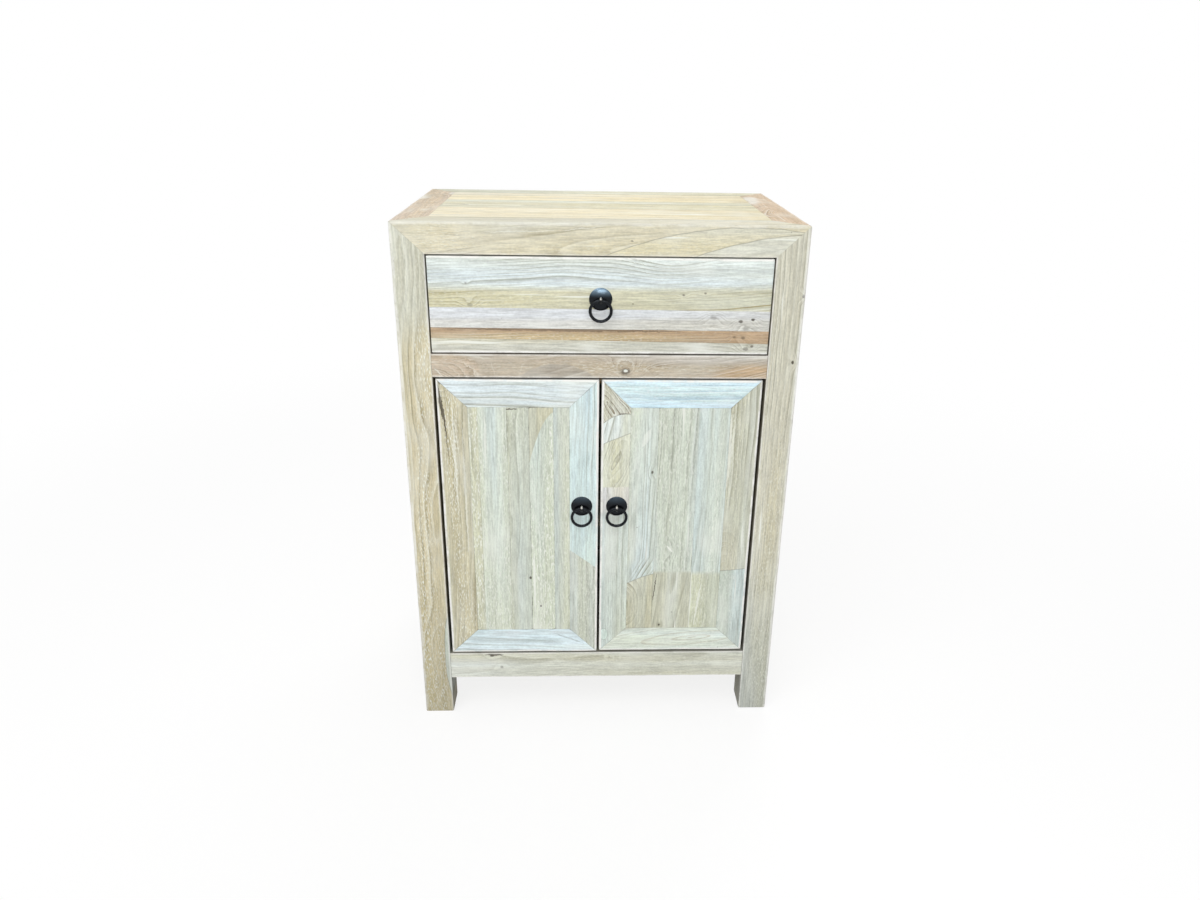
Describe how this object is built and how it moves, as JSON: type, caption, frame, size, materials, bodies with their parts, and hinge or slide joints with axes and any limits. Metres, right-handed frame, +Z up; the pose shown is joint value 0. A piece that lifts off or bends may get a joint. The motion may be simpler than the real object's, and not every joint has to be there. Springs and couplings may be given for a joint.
{
  "type": "storage side table with door",
  "caption": "Small upright wooden cabinet on square feet: a drawer with a ring pull over a pair of mitre-framed doors, inside a mitred frame with a flush panelled top.",
  "frame": {"origin": "on the floor, under the middle of the whole outline, pulls included", "axes": "+Z up, +X to the right for someone facing the doors, the front faces -Y"},
  "size_m": [0.6, 0.3942, 0.85],
  "materials": {
    "elm_straw": "matte, limed, open grain",
    "elm_grey_beige": "matte, limed, open grain",
    "elm_cream": "matte, limed, open grain",
    "elm_tan": "matte, limed, open grain",
    "elm_taupe": "matte, limed, open grain",
    "elm_pale": "matte, limed, open grain",
    "black_iron": "satin black",
    "zinc_steel": "zinc plated",
    "magnet": "nickel plated"
  },
  "bodies": {
    "carcass": {"back_panel": "elm_straw", "bottom_rail_back": "elm_straw", "bottom_rail_front": "elm_grey_beige", "bottom_rail_left": "elm_grey_beige", "bottom_rail_right": "elm_straw", "carcass_screws": "zinc_steel", "catch_block": "elm_straw", "catch_magnets": "magnet", "cupboard_floor": "elm_straw", "drawer_runner_left": "elm_straw", "drawer_runner_right": "elm_straw", "middle_rail": "elm_taupe", "post_back_left": "elm_straw", "post_back_right": "elm_grey_beige", "post_front_left": "elm_straw", "post_front_right": "elm_grey_beige", "shelf": "elm_cream", "shelf_cleats": "elm_straw", "side_panel_left": "elm_straw", "side_panel_right": "elm_grey_beige", "top_batten": "elm_straw", "top_board_back": "elm_cream", "top_board_front": "elm_cream", "top_board_middle": "elm_cream", "top_rail_back": "elm_cream", "top_rail_front": "elm_grey_beige", "top_rail_left": "elm_tan", "top_rail_right": "elm_tan"},
    "drawer": {"drawer_back": "elm_straw", "drawer_bottom": "elm_cream", "drawer_front_stave_1": "elm_pale", "drawer_front_stave_2": "elm_straw", "drawer_front_stave_3": "elm_pale", "drawer_front_stave_4": "elm_tan", "drawer_front_stave_5": "elm_cream", "drawer_pull_eyelet": "black_iron", "drawer_pull_plate": "black_iron", "drawer_side_left": "elm_straw", "drawer_side_right": "elm_straw"},
    "door_left": {"door_left_panel": "elm_grey_beige", "door_left_pivot_pins": "zinc_steel", "door_left_pull_eyelet": "black_iron", "door_left_pull_plate": "black_iron", "door_left_rail_low": "elm_pale", "door_left_rail_top": "elm_pale", "door_left_stile_hinge": "elm_straw", "door_left_stile_meeting": "elm_pale", "door_left_strike": "zinc_steel"},
    "door_right": {"door_right_panel": "elm_grey_beige", "door_right_pivot_pins": "zinc_steel", "door_right_pull_eyelet": "black_iron", "door_right_pull_plate": "black_iron", "door_right_rail_low": "elm_pale", "door_right_rail_top": "elm_pale", "door_right_stile_hinge": "elm_straw", "door_right_stile_meeting": "elm_pale", "door_right_strike": "zinc_steel"},
    "drawer_ring": {"drawer_pull_ring": "black_iron"},
    "door_left_ring": {"door_left_pull_ring": "black_iron"},
    "door_right_ring": {"door_right_pull_ring": "black_iron"}
  },
  "joints": [
    {"name": "drawer_slide", "type": "slide", "parent": "carcass", "child": "drawer", "axis": [0, -1, 0], "range_m": [0, 0.27]},
    {"name": "door_left_hinge", "type": "hinge", "parent": "carcass", "child": "door_left", "pos_m": [-0.233, -0.17295, 0.37], "axis": [0, 0, -1], "range_deg": [0, 110]},
    {"name": "door_right_hinge", "type": "hinge", "parent": "carcass", "child": "door_right", "pos_m": [0.2325, -0.17295, 0.37], "axis": [0, 0, 1], "range_deg": [0, 110]},
    {"name": "drawer_ring_swing", "type": "hinge", "parent": "drawer", "child": "drawer_ring", "pos_m": [-0.001, -0.19185, 0.741], "axis": [-1, 0, 0], "range_deg": [-8, 170]},
    {"name": "door_left_ring_swing", "type": "hinge", "parent": "door_left", "child": "door_left_ring", "pos_m": [-0.028, -0.19185, 0.4035], "axis": [-1, 0, 0], "range_deg": [-8, 170]},
    {"name": "door_right_ring_swing", "type": "hinge", "parent": "door_right", "child": "door_right_ring", "pos_m": [0.028, -0.19185, 0.4035], "axis": [-1, 0, 0], "range_deg": [-8, 170]}
  ]
}
